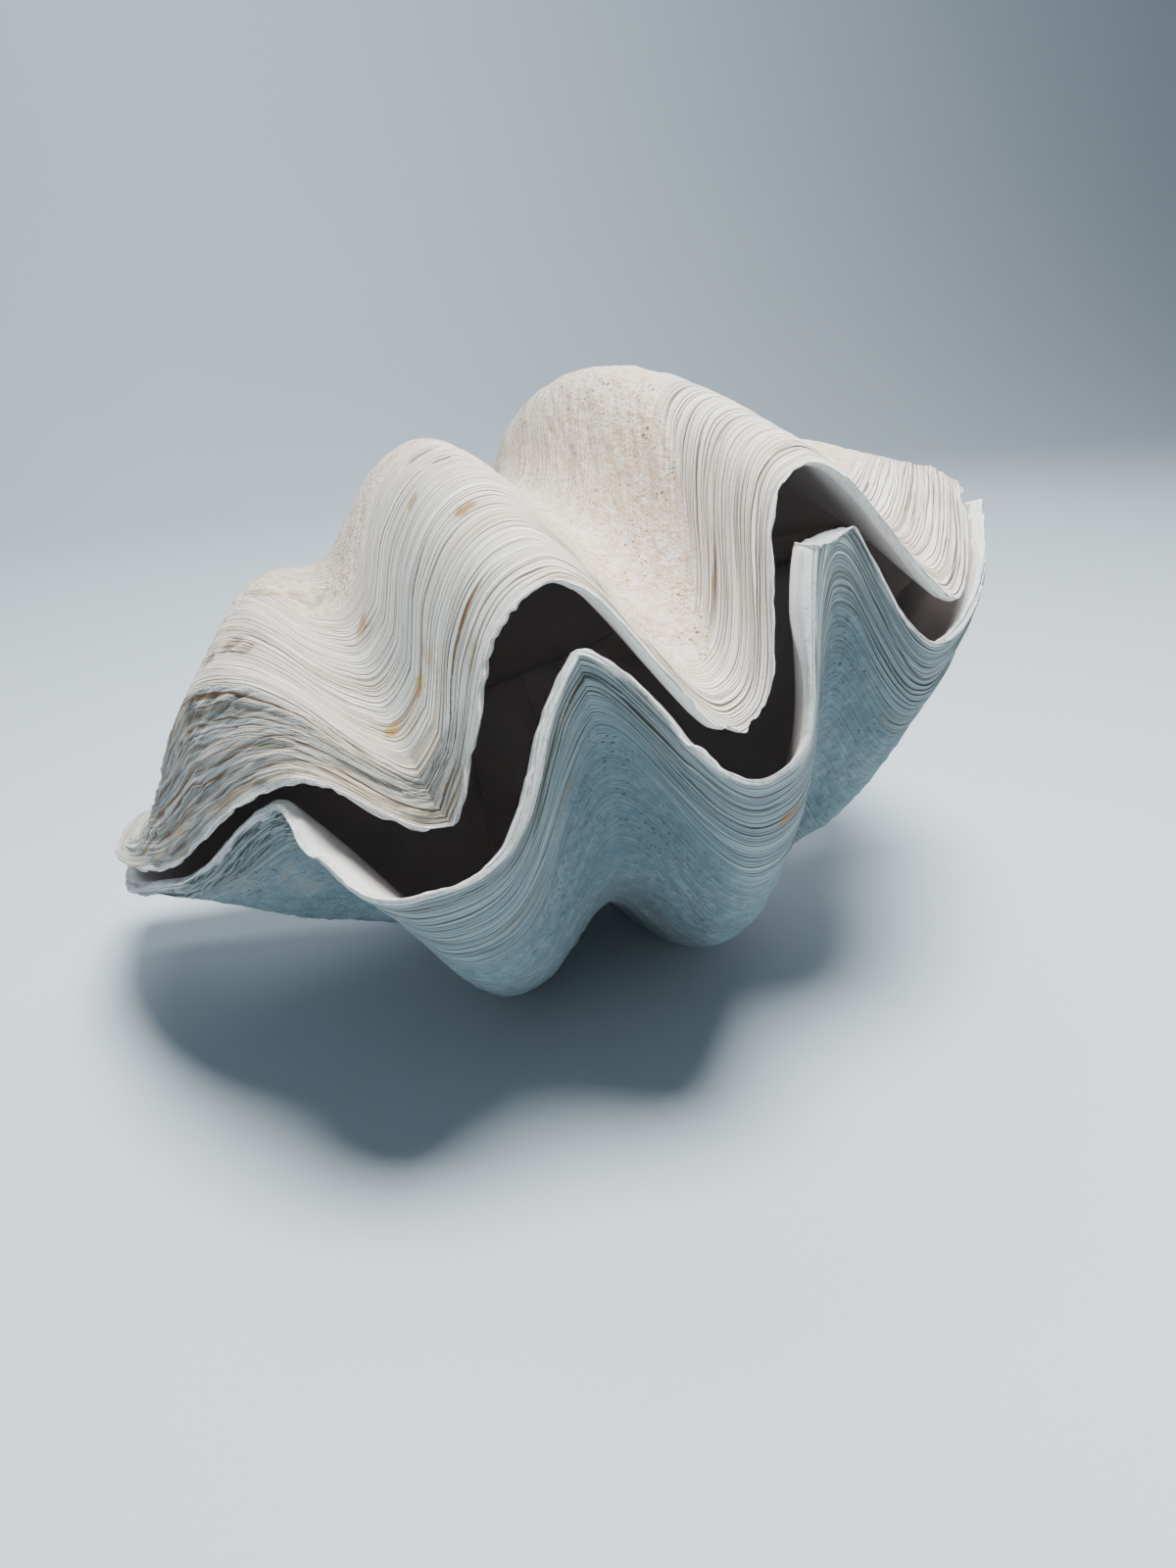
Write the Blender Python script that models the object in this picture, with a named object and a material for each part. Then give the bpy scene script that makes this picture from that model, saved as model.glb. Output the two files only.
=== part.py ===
"""Giant clam shell, the two valves lying closed to a narrow gap, tilted on the lower valve's ribs.

Metres, +Z up. The origin is on the floor under the middle of the shell; +X runs along the shell's
length, from the low end to the raised end.

Each valve is a growth surface. Its free edge is a fan of rays from the hinge, alternately the top
of a fold and the bottom of a groove, and the rest of the surface is that edge shrunk towards the
hinge while it turns about the hinge line, so every row of the grid is an earlier free edge. The
outer and inner faces have unlike sections (the folds flatten inside, towards the hinge), so the
body is lofted through the rows.
"""

import math

import bmesh
import bpy
import numpy as np

# ---------------------------------------------------------------- driving dimensions
# The free edge, ray by ray from one end of the hinge line to the other:
#   angle from straight out of the hinge (degrees), reach from the hinge and height of the edge
#   (millimetres), curl of the growth, sideways bend towards the hinge (degrees), and the extra
#   steepness beside the edge. Even rays are grooves of the upper valve, odd rays are its folds.
# FORM is how the edge steps from each ray to the next: ridge below 1 makes folds broad and grooves
#   sharp, and steep makes the step between them steeper.
UPPER_RAYS = [
    (93.0, 208, 7.0, 0.15, -1.4, 0.00),
    (73.3, 224, 0.0, 0.50, -9.0, 0.00),
    (50.5, 240, -6.0, 1.50, 0.9, 0.05),
    (28.0, 266, 16.0, 1.42, 14.0, 0.00),
    (16.3, 280, -15.0, 1.27, 14.4, 0.00),
    (4.3, 286, 46.0, 1.24, 1.9, 0.00),
    (-4.4, 283, -23.5, 1.17, -1.1, 0.00),
    (-17.0, 282, 51.0, 1.41, -1.7, 0.00),
    (-32.3, 273, -22.0, 1.67, -0.7, 0.00),
    (-54.0, 264, 14.0, 1.45, -0.1, 0.00),
    (-69.0, 256, -12.0, 1.40, 0.0, 0.00),
    (-81.0, 248, 18.0, 1.30, 0.2, 0.00),
    (-93.0, 238, 7.0, 0.15, 0.3, 0.00),
]
LOWER_RAYS = [
    (93.0, 207, -7.0, 0.15, -0.4, 0.00),
    (73.9, 225, -10.0, 1.40, 0.6, 0.00),
    (49.4, 242, -2.0, 1.50, 1.8, 0.00),
    (29.3, 262, 23.0, 1.63, 3.4, 0.00),
    (19.0, 288, -17.0, 1.66, 3.2, 0.00),
    (4.6, 282, 40.0, 1.47, 1.3, 0.00),
    (-4.8, 286, -25.0, 1.88, -0.3, 0.00),
    (-17.4, 280, 42.0, 1.90, -1.4, 0.00),
    (-30.0, 271, -20.0, 1.91, 5.0, 0.00),
    (-54.5, 270, 16.0, 1.80, 6.0, 0.00),
    (-69.0, 258, -19.0, 1.65, 4.0, 0.00),
    (-81.0, 250, 6.0, 1.40, 0.4, 0.00),
    (-93.0, 240, -7.0, 0.15, 0.5, 0.00),
]
UPPER_FORM = [
    (0.80, 0.0),
    (0.80, 0.0),
    (0.80, 0.0),
    (1.20, 0.0),
    (0.50, 0.3),
    (0.92, 0.0),
    (0.95, 0.5),
    (0.80, 0.0),
    (0.80, 0.0),
    (0.80, 0.0),
    (0.80, 0.0),
    (0.80, 0.0),
]
LOWER_FORM = [
    (0.74, 0.0),
    (0.74, 0.0),
    (1.00, 0.0),
    (0.74, 0.0),
    (0.45, 0.6),
    (0.86, 0.0),
    (0.65, 0.6),
    (0.95, 0.3),
    (0.74, 0.0),
    (0.74, 0.0),
    (0.74, 0.0),
    (0.74, 0.0),
]
UPPER = {"rays": UPPER_RAYS, "form": UPPER_FORM, "side": 1.0, "open": 2.5, "spread": 0.76}
LOWER = {"rays": LOWER_RAYS, "form": LOWER_FORM, "side": -1.0, "open": 0.0, "spread": 0.85}

TURN_MAX = 2.9  # radians, the most the growth turns about the hinge line
HINGE_LINE_Y = -0.012  # the line the upper valve opens about
EDGE_THICKNESS = 0.0050
BODY_THICKNESS = 0.0085
UMBO_SHARE = 0.075  # share of full growth where the outer face ends in the beak
CAVITY_SHARE = 0.26  # share of full growth where the cavity ends at the hinge plate
HINGE_FACE_GAP = 0.0005  # each valve's hinge face keeps this far from the plane between them

TILT = (11.6, 15.0, 180.0)  # degrees, how the pair lies
FLOOR_CUT = 0.0030  # how much of the lowest rib is worn off flat where the shell stands

COLUMNS_PER_RAY = 5
ROWS = 17


# ---------------------------------------------------------------- the growth surface
def smooth_through(values, t):
    """A natural cubic through the values at whole numbers, read at t."""
    y = np.asarray(values, float)
    n = len(y) - 1
    a = np.zeros((n + 1, n + 1))
    b = np.zeros(n + 1)
    a[0, 0] = a[n, n] = 1.0
    for i in range(1, n):
        a[i, i - 1], a[i, i], a[i, i + 1] = 1.0, 4.0, 1.0
        b[i] = 6.0 * (y[i - 1] - 2.0 * y[i] + y[i + 1])
    m = np.linalg.solve(a, b)
    i = np.clip(np.floor(t).astype(int), 0, n - 1)
    f = t - i
    g = 1.0 - f
    return g * y[i] + f * y[i + 1] + ((g**3 - g) * m[i] + (f**3 - f) * m[i + 1]) / 6.0


def fold_height(z, t, form):
    """Height between rays: a cosine step, sharp at the groove and broad at the fold."""
    z = np.asarray(z, float)
    i = np.clip(np.floor(t).astype(int), 0, len(z) - 2)
    ridge, steep = np.array(form)[i].T
    f = t - i
    low = np.minimum(z[i], z[i + 1])
    high = np.maximum(z[i], z[i + 1])
    g = np.where(z[i + 1] >= z[i], f, 1.0 - f)
    g = g - steep * np.sin(2.0 * math.pi * g) / (2.0 * math.pi)
    return low + (high - low) * (0.5 - 0.5 * np.cos(math.pi * g)) ** ridge


def skin(valve, t, s, kept=None):
    """Points of the growth surface for rays t and shares of full growth s.

    kept is the share of each fold's height that is left, per row, above the grooves."""
    rays = np.array(valve["rays"])
    side = valve["side"]
    angle = np.radians(smooth_through(rays[:, 0], t))
    reach = smooth_through(rays[:, 1], t) / 1000.0
    curl = smooth_through(rays[:, 3], t)
    bend = np.radians(smooth_through(rays[:, 4], t))
    wall = smooth_through(rays[:, 5], t)
    height = side * fold_height(side * rays[:, 2], t, valve["form"]) / 1000.0
    if kept is None:
        height = np.broadcast_to(height[None], (len(s), len(t)))
    else:
        grooves = rays[::2, 2] if side > 0 else rays[1::2, 2]
        if side < 0:
            grooves = np.concatenate([[rays[0, 2]], grooves, [rays[-1, 2]]])
            at = np.interp(t, [0, 1, 3, 5, 7, 9, 11, 12], np.arange(8))
        else:
            at = t / 2.0
        base = smooth_through(grooves, at) / 1000.0
        base = side * np.minimum(side * base, side * height)
        height = base[None] + (height - base)[None] * kept[:, None]
    grown = np.log(1.0 / s)[:, None]
    turned = angle[None] + bend[None] * (1.0 - s[:, None])
    x = reach[None] * np.sin(turned)
    y = reach[None] * np.cos(turned)
    phi = TURN_MAX * np.tanh(curl[None] * grown / TURN_MAX)
    phi = side * (phi + wall[None] * (1.0 - np.exp(-grown / 0.12)))
    share = s[:, None]
    points = np.stack(
        [
            share ** valve["spread"] * x,
            share * (np.cos(phi) * y - np.sin(phi) * height),
            share * (np.sin(phi) * y + np.cos(phi) * height),
        ],
        -1,
    )
    o = math.radians(valve["open"])
    y = points[..., 1] - HINGE_LINE_Y
    z = points[..., 2].copy()
    points[..., 1] = HINGE_LINE_Y + math.cos(o) * y - math.sin(o) * z
    points[..., 2] = math.sin(o) * y + math.cos(o) * z
    return points


def outward(points, side):
    """Unit normals of a grid of points, away from the cavity."""
    along_t = np.gradient(points, axis=1)
    along_s = np.gradient(points, axis=0)
    n = np.cross(along_t, along_s) * side
    return n / np.maximum(np.linalg.norm(n, axis=-1, keepdims=True), 1e-12)


def close_down(arch, widths, blends, y, z):
    """Rows that bring an arch of points down to a line beside the hinge line."""
    middle = 0.5 * (arch[0, 0] + arch[-1, 0])
    rows = []
    for width, blend in zip(widths, blends):
        row = arch.copy()
        row[:, 0] = middle + (arch[:, 0] - middle) * width
        row[:, 1] = arch[:, 1] * (1.0 - blend) + y * blend
        row[:, 2] = arch[:, 2] * (1.0 - blend) + z * blend
        rows.append(row)
    return rows


def faces_of(valve, rows, columns_per_ray):
    """The outer and the inner grid of a valve, the same number of rows and columns."""
    side = valve["side"]
    last = len(valve["rays"]) - 1
    t = np.linspace(0.0, last, last * columns_per_ray + 1)
    s_out = np.exp(np.linspace(0.0, math.log(UMBO_SHARE), rows))
    outer = keep_off_hinge_face(skin(valve, t, s_out), t, s_out, side, 0.0005)

    s_in = np.exp(np.linspace(math.log(0.992), math.log(CAVITY_SHARE), rows))
    kept = np.interp(s_in, [CAVITY_SHARE, 0.5, 0.9], [0.2, 0.55, 1.0])
    flattened = skin(valve, t, s_in, kept)
    thick = np.interp(
        s_in,
        [CAVITY_SHARE, 0.45, 0.85, 1.0],
        [BODY_THICKNESS, BODY_THICKNESS, 0.0075, EDGE_THICKNESS],
    )
    inner = flattened - outward(flattened, side) * thick[:, None, None]
    # Along the hinge line the face between outer and inner lies flat against the other valve.
    flat = np.exp(-((t / 0.45) ** 2)) + np.exp(-(((last - t) / 0.45) ** 2))
    beside = flattened.copy()
    beside[..., 1] += 0.006
    beside[..., 2] = side * HINGE_FACE_GAP
    inner = inner + (beside - inner) * flat[None, :, None]
    inner = keep_off_hinge_face(inner, t, s_in, side, 0.0)

    z = side * HINGE_FACE_GAP
    outer_rows = list(outer) + close_down(outer[-1], (0.82, 0.6), (0.6, 1.0), -0.012, z)
    inner_rows = list(inner) + close_down(inner[-1], (0.92, 0.8), (0.5, 1.0), 0.014, z)
    return np.array(outer_rows), np.array(inner_rows)


def keep_off_hinge_face(points, t, s, side, more):
    """Points beside the hinge line stay on their own valve's side of the plane between the valves."""
    near = (t[None, :] < 1.0) | (t[None, :] > t[-1] - 1.0) | (s[:, None] < 0.4)
    least = HINGE_FACE_GAP + more
    z = side * points[..., 2]
    points[..., 2] = side * np.where(near, np.maximum(z, least), z)
    return points


def lying_rotation():
    """The rotation that lays the pair down tilted; its last row is up, in the valves' own frame."""
    ax, ay, az = (math.radians(a) for a in TILT)
    rx = np.array([[1, 0, 0], [0, math.cos(ax), -math.sin(ax)], [0, math.sin(ax), math.cos(ax)]])
    ry = np.array([[math.cos(ay), 0, math.sin(ay)], [0, 1, 0], [-math.sin(ay), 0, math.cos(ay)]])
    rz = np.array([[math.cos(az), -math.sin(az), 0], [math.sin(az), math.cos(az), 0], [0, 0, 1]])
    return rz @ ry @ rx


def shell_mesh(name, outer, inner, side):
    """One closed body: the outer grid, the inner grid and the strip that joins their edges."""
    rows, columns = outer.shape[:2]
    count = rows * columns
    points = np.concatenate([outer.reshape(-1, 3), inner.reshape(-1, 3)])
    faces = []
    for i in range(rows - 1):
        for j in range(columns - 1):
            a, b = i * columns + j, i * columns + j + 1
            c, d = b + columns, a + columns
            faces.append((a, b, c, d))
            faces.append((a + count, d + count, c + count, b + count))
    ring = [j for j in range(columns)]
    ring += [i * columns + columns - 1 for i in range(1, rows)]
    ring += [(rows - 1) * columns + j for j in range(columns - 2, -1, -1)]
    ring += [i * columns for i in range(rows - 2, 0, -1)]
    for k, a in enumerate(ring):
        b = ring[(k + 1) % len(ring)]
        faces.append((b, a, a + count, b + count))
    if side < 0:
        faces = [f[::-1] for f in faces]
    mesh = bpy.data.meshes.new(name)
    mesh.from_pydata([tuple(p) for p in points], [], faces)
    mesh.update()
    mesh.polygons.foreach_set("use_smooth", [True] * len(mesh.polygons))
    return mesh


def wear_flat(mesh, normal, level):
    """Takes off what lies below the level along the normal, and closes each cut with a flat face."""
    shape = bmesh.new()
    shape.from_mesh(mesh)
    everything = shape.verts[:] + shape.edges[:] + shape.faces[:]
    cut = bmesh.ops.bisect_plane(
        shape, geom=everything, plane_co=normal * level, plane_no=normal, clear_inner=True
    )
    edges = [e for e in cut["geom_cut"] if isinstance(e, bmesh.types.BMEdge)]
    bmesh.ops.edgeloop_fill(shape, edges=edges)
    bmesh.ops.recalc_face_normals(shape, faces=shape.faces[:])
    shape.to_mesh(mesh)
    shape.free()


def surface_material(name, colour, roughness):
    material = bpy.data.materials.new(name)
    material.use_nodes = True
    shader = material.node_tree.nodes["Principled BSDF"]
    shader.inputs["Base Color"].default_value = (*colour, 1.0)
    shader.inputs["Roughness"].default_value = roughness
    return material


# ---------------------------------------------------------------- the two valves
for old in list(bpy.data.objects):
    bpy.data.objects.remove(old)

collection = bpy.data.collections.new("giant_clam_shell")
bpy.context.scene.collection.children.link(collection)

to_lying = lying_rotation()
up = to_lying[2]

grids = {
    "upper_valve": (UPPER, *faces_of(UPPER, ROWS, COLUMNS_PER_RAY)),
    "lower_valve": (LOWER, *faces_of(LOWER, ROWS, COLUMNS_PER_RAY)),
}

# The shell stands on the ribs of its lower valve, which are worn flat at this height.
floor_level = (grids["lower_valve"][1] @ up).min() + FLOOR_CUT

everything = np.concatenate([g.reshape(-1, 3) for v in grids.values() for g in v[1:]]) @ to_lying.T
low, high = everything.min(axis=0), everything.max(axis=0)
place = (-(low[0] + high[0]) / 2, -(low[1] + high[1]) / 2, -floor_level)

LOOKS = {"upper_valve": ((0.86, 0.83, 0.76), 0.6), "lower_valve": ((0.80, 0.80, 0.77), 0.6)}
for name, (valve, outer, inner) in grids.items():
    mesh = shell_mesh(name, outer, inner, valve["side"])
    if name == "lower_valve":
        wear_flat(mesh, up, floor_level)
    mesh.materials.append(surface_material(name + "_surface", *LOOKS[name]))
    shell = bpy.data.objects.new(name, mesh)
    shell.rotation_euler = tuple(math.radians(a) for a in TILT)
    shell.location = place
    collection.objects.link(shell)
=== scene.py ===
"""The giant clam shell's looks: both valves as fine layered shells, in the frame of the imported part.

Each valve is the growth surface of the part, far finer: its rows are earlier free edges, so the
stacked growth layers, their chipped fronts, the chalky worn patches and the broken places of the
free edge are real relief that follows the growth. The rest of the detail is in the materials.
"""

import math

import bmesh
import bpy
import numpy as np
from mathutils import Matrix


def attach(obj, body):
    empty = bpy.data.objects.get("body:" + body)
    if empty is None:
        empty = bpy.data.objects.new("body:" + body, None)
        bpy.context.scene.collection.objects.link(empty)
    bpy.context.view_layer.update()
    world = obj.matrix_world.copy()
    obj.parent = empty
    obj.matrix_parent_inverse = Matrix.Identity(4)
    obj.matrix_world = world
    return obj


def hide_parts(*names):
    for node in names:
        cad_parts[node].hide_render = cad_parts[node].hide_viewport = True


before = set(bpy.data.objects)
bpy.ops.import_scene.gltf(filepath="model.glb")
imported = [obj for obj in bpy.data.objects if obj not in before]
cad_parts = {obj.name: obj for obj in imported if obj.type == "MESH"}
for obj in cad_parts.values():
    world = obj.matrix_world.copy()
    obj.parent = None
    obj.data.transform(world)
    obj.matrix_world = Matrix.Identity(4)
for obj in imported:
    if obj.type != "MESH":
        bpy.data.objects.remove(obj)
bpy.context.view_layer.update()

# ---------------------------------------------------------------- the part's own dimensions
UPPER_RAYS = [
    (93.0, 208, 7.0, 0.15, -1.4, 0.00),
    (73.3, 224, 0.0, 0.50, -9.0, 0.00),
    (50.5, 240, -6.0, 1.50, 0.9, 0.05),
    (28.0, 266, 16.0, 1.42, 14.0, 0.00),
    (16.3, 280, -15.0, 1.27, 14.4, 0.00),
    (4.3, 286, 46.0, 1.24, 1.9, 0.00),
    (-4.4, 283, -23.5, 1.17, -1.1, 0.00),
    (-17.0, 282, 51.0, 1.41, -1.7, 0.00),
    (-32.3, 273, -22.0, 1.67, -0.7, 0.00),
    (-54.0, 264, 14.0, 1.45, -0.1, 0.00),
    (-69.0, 256, -12.0, 1.40, 0.0, 0.00),
    (-81.0, 248, 18.0, 1.30, 0.2, 0.00),
    (-93.0, 238, 7.0, 0.15, 0.3, 0.00),
]
LOWER_RAYS = [
    (93.0, 207, -7.0, 0.15, -0.4, 0.00),
    (73.9, 225, -10.0, 1.40, 0.6, 0.00),
    (49.4, 242, -2.0, 1.50, 1.8, 0.00),
    (29.3, 262, 23.0, 1.63, 3.4, 0.00),
    (19.0, 288, -17.0, 1.66, 3.2, 0.00),
    (4.6, 282, 40.0, 1.47, 1.3, 0.00),
    (-4.8, 286, -25.0, 1.88, -0.3, 0.00),
    (-17.4, 280, 42.0, 1.90, -1.4, 0.00),
    (-30.0, 271, -20.0, 1.91, 5.0, 0.00),
    (-54.5, 270, 16.0, 1.80, 6.0, 0.00),
    (-69.0, 258, -19.0, 1.65, 4.0, 0.00),
    (-81.0, 250, 6.0, 1.40, 0.4, 0.00),
    (-93.0, 240, -7.0, 0.15, 0.5, 0.00),
]
UPPER_FORM = [
    (0.80, 0.0),
    (0.80, 0.0),
    (0.80, 0.0),
    (1.20, 0.0),
    (0.50, 0.3),
    (0.92, 0.0),
    (0.95, 0.5),
    (0.80, 0.0),
    (0.80, 0.0),
    (0.80, 0.0),
    (0.80, 0.0),
    (0.80, 0.0),
]
LOWER_FORM = [
    (0.74, 0.0),
    (0.74, 0.0),
    (1.00, 0.0),
    (0.74, 0.0),
    (0.45, 0.6),
    (0.86, 0.0),
    (0.65, 0.6),
    (0.95, 0.3),
    (0.74, 0.0),
    (0.74, 0.0),
    (0.74, 0.0),
    (0.74, 0.0),
]
UPPER = {"rays": UPPER_RAYS, "form": UPPER_FORM, "side": 1.0, "open": 2.5, "spread": 0.76}
LOWER = {"rays": LOWER_RAYS, "form": LOWER_FORM, "side": -1.0, "open": 0.0, "spread": 0.85}
TURN_MAX = 2.9
HINGE_LINE_Y = -0.012
EDGE_THICKNESS = 0.0050
BODY_THICKNESS = 0.0085
UMBO_SHARE = 0.075
CAVITY_SHARE = 0.26
HINGE_FACE_GAP = 0.0005
TILT = (11.6, 15.0, 180.0)
PLACE = np.array([-0.0125989, 0.1225416, 0.1181219])

GROWTH = 495.0  # millimetres of shell along a ray from the free edge to the beak
LAST = 12


# ---------------------------------------------------------------- seeded noise
def noise2(x, y, seed):
    """Smooth value noise between -1 and 1."""
    table = np.random.RandomState(seed).rand(64, 64) * 2.0 - 1.0
    x, y = np.broadcast_arrays(np.asarray(x, float), np.asarray(y, float))
    xi, yi = np.floor(x).astype(int), np.floor(y).astype(int)
    xf, yf = x - xi, y - yi
    xf = xf * xf * xf * (xf * (xf * 6 - 15) + 10)
    yf = yf * yf * yf * (yf * (yf * 6 - 15) + 10)
    a, b = table[xi & 63, yi & 63], table[(xi + 1) & 63, yi & 63]
    c, d = table[xi & 63, (yi + 1) & 63], table[(xi + 1) & 63, (yi + 1) & 63]
    return (a + (b - a) * xf) * (1 - yf) + (c + (d - c) * xf) * yf


def fbm(x, y, seed, octaves=4, gain=0.5):
    total, amplitude, norm = 0.0, 1.0, 0.0
    for k in range(octaves):
        total = total + amplitude * noise2(x * 2.03**k, y * 2.03**k, seed + k)
        norm += amplitude
        amplitude *= gain
    return total / norm


def step(a, b, x):
    f = np.clip((np.asarray(x, float) - a) / (b - a), 0.0, 1.0)
    return f * f * (3.0 - 2.0 * f)


def bell(x, middle, width):
    return np.exp(-(((x - middle) / width) ** 2))


# ---------------------------------------------------------------- the growth surface
def smooth_through(values, t):
    y = np.asarray(values, float)
    n = len(y) - 1
    a = np.zeros((n + 1, n + 1))
    b = np.zeros(n + 1)
    a[0, 0] = a[n, n] = 1.0
    for i in range(1, n):
        a[i, i - 1], a[i, i], a[i, i + 1] = 1.0, 4.0, 1.0
        b[i] = 6.0 * (y[i - 1] - 2.0 * y[i] + y[i + 1])
    m = np.linalg.solve(a, b)
    i = np.clip(np.floor(t).astype(int), 0, n - 1)
    f = t - i
    g = 1.0 - f
    return g * y[i] + f * y[i + 1] + ((g**3 - g) * m[i] + (f**3 - f) * m[i + 1]) / 6.0


def fold_height(z, t, form):
    z = np.asarray(z, float)
    i = np.clip(np.floor(t).astype(int), 0, len(z) - 2)
    ridge, steep = np.array(form)[i].T
    f = t - i
    low = np.minimum(z[i], z[i + 1])
    high = np.maximum(z[i], z[i + 1])
    g = np.where(z[i + 1] >= z[i], f, 1.0 - f)
    g = g - steep * np.sin(2.0 * math.pi * g) / (2.0 * math.pi)
    return low + (high - low) * (0.5 - 0.5 * np.cos(math.pi * g)) ** ridge


def skin(valve, t, s, kept=None):
    """Points of the growth surface for rays t (columns) and shares of full growth s (rows, columns)."""
    rays = np.array(valve["rays"])
    side = valve["side"]
    angle = np.radians(smooth_through(rays[:, 0], t))[None]
    reach = (smooth_through(rays[:, 1], t) / 1000.0)[None]
    curl = smooth_through(rays[:, 3], t)[None]
    bend = np.radians(smooth_through(rays[:, 4], t))[None]
    wall = smooth_through(rays[:, 5], t)[None]
    height = (side * fold_height(side * rays[:, 2], t, valve["form"]) / 1000.0)[None]
    spread_t = np.linspace(-0.34, 0.34, 15)
    weights = np.exp(-((spread_t / 0.15) ** 2))
    soft = sum(
        w * side * fold_height(side * rays[:, 2], np.clip(t + d, 0.0, LAST), valve["form"]) / 1000.0
        for d, w in zip(spread_t, weights / weights.sum())
    )
    aged = step(0.0, 45.0, GROWTH * (1.0 - s)) * step(0.0, 0.8, t)[None] * step(0.0, 0.8, LAST - t)[None]
    height = height + (soft[None] - height) * aged
    if kept is not None:
        grooves = rays[::2, 2] if side > 0 else rays[1::2, 2]
        if side < 0:
            grooves = np.concatenate([[rays[0, 2]], grooves, [rays[-1, 2]]])
            at = np.interp(t, [0, 1, 3, 5, 7, 9, 11, 12], np.arange(8))
        else:
            at = t / 2.0
        base = (smooth_through(grooves, at) / 1000.0)[None]
        base = side * np.minimum(side * base, side * height)
        height = base + (height - base) * kept
    grown = np.log(1.0 / s)
    turned = angle + bend * (1.0 - s)
    x, y = reach * np.sin(turned), reach * np.cos(turned)
    phi = TURN_MAX * np.tanh(curl * grown / TURN_MAX)
    phi = side * (phi + wall * (1.0 - np.exp(-grown / 0.12)))
    points = np.stack(
        [
            s ** valve["spread"] * x,
            s * (np.cos(phi) * y - np.sin(phi) * height),
            s * (np.sin(phi) * y + np.cos(phi) * height),
        ],
        -1,
    )
    o = math.radians(valve["open"])
    y = points[..., 1] - HINGE_LINE_Y
    z = points[..., 2].copy()
    points[..., 1] = HINGE_LINE_Y + math.cos(o) * y - math.sin(o) * z
    points[..., 2] = math.sin(o) * y + math.cos(o) * z
    return points


def outward(points, side):
    along_t = np.gradient(points, axis=1)
    along_s = np.gradient(points, axis=0)
    n = np.cross(along_t, along_s) * side
    return n / np.maximum(np.linalg.norm(n, axis=-1, keepdims=True), 1e-12)


def close_down(arch, widths, blends, y, z):
    middle = 0.5 * (arch[0, 0] + arch[-1, 0])
    rows = []
    for width, blend in zip(widths, blends):
        row = arch.copy()
        row[:, 0] = middle + (arch[:, 0] - middle) * width
        row[:, 1] = arch[:, 1] * (1.0 - blend) + y * blend
        row[:, 2] = arch[:, 2] * (1.0 - blend) + z * blend
        rows.append(row)
    return rows


def keep_off_hinge_face(points, t, s, side, more):
    near = (t[None, :] < 1.0) | (t[None, :] > LAST - 1.0) | (s < 0.4)
    least = HINGE_FACE_GAP + more
    z = side * points[..., 2]
    points[..., 2] = side * np.where(near, np.maximum(z, least), z)
    return points


def lying_rotation():
    ax, ay, az = (math.radians(a) for a in TILT)
    rx = np.array([[1, 0, 0], [0, math.cos(ax), -math.sin(ax)], [0, math.sin(ax), math.cos(ax)]])
    ry = np.array([[math.cos(ay), 0, math.sin(ay)], [0, 1, 0], [-math.sin(ay), 0, math.cos(ay)]])
    rz = np.array([[math.cos(az), -math.sin(az), 0], [math.sin(az), math.cos(az), 0], [0, 0, 1]])
    return rz @ ry @ rx


# ---------------------------------------------------------------- what each valve has of its own
# Chips in the free edge: ray, half width in rays, depth in millimetres.
UPPER_CHIPS = [
    (1.15, 0.10, 2.5),
    (1.62, 0.08, 1.8),
    (2.05, 0.06, 1.5),
    (3.62, 0.05, 1.2),
    (4.22, 0.05, 1.2),
    (4.52, 0.03, 1.2),
    (4.62, 0.04, 2.0),
    (4.72, 0.03, 2.6),
    (5.93, 0.05, 2.6),
    (6.10, 0.05, 2.2),
    (6.22, 0.06, 1.4),
    (6.92, 0.05, 1.0),
    (7.30, 0.04, 2.2),
    (7.52, 0.04, 1.6),
    (8.70, 0.08, 3.0),
    (8.92, 0.04, 5.0),
    (9.10, 0.04, 7.0),
    (9.30, 0.05, 3.5),
    (10.2, 0.10, 3.0),
]
LOWER_CHIPS = [
    (1.05, 0.08, 3.0),
    (1.60, 0.10, 2.0),
    (3.10, 0.05, 2.5),
    (3.30, 0.06, 3.5),
    (4.82, 0.06, 1.0),
    (5.55, 0.06, 1.4),
    (8.70, 0.06, 3.0),
    (8.86, 0.04, 5.0),
    (9.02, 0.03, 1.5),
    (9.16, 0.04, 6.0),
    (9.35, 0.06, 3.0),
    (10.6, 0.10, 3.0),
]
# The lower valve's tooth that has lost its tip: ray, half width in rays, height of the break (m).
BROKEN_TOOTH = (7.0, 0.50, 0.2262)
# Ochre and rust spots: ray, growth from the edge (mm), half sizes along the edge and the growth
# (mm), strength.
UPPER_STAINS = [
    (4.06, 107.0, 5.0, 4.5, 0.75),
    (4.32, 42.0, 4.0, 6.0, 0.6),
    (4.22, 45.0, 4.0, 5.0, 1.0),
    (3.93, 47.0, 4.0, 3.5, 0.85),
    (4.50, 12.0, 5.0, 3.5, 0.5),
    (4.85, 64.0, 4.0, 3.0, 1.0),
    (4.64, 100.0, 4.0, 3.0, 0.8),
    (1.76, 15.0, 3.5, 2.5, 1.0),
    (2.25, 15.0, 3.0, 2.5, 0.9),
    (2.72, 134.0, 2.5, 2.5, 1.0),
    (3.30, 152.0, 14.0, 5.0, 0.55),
    (5.93, 60.0, 6.0, 3.0, 0.4),
    (8.00, 34.0, 7.0, 9.0, 0.4),
    (7.85, 52.0, 8.0, 7.0, 0.35),
]
LOWER_STAINS = [
    (6.18, 22.0, 5.0, 2.5, 1.0),
    (4.70, 34.0, 9.0, 2.5, 0.5),
    (3.60, 66.0, 6.0, 4.0, 0.5),
]
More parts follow.
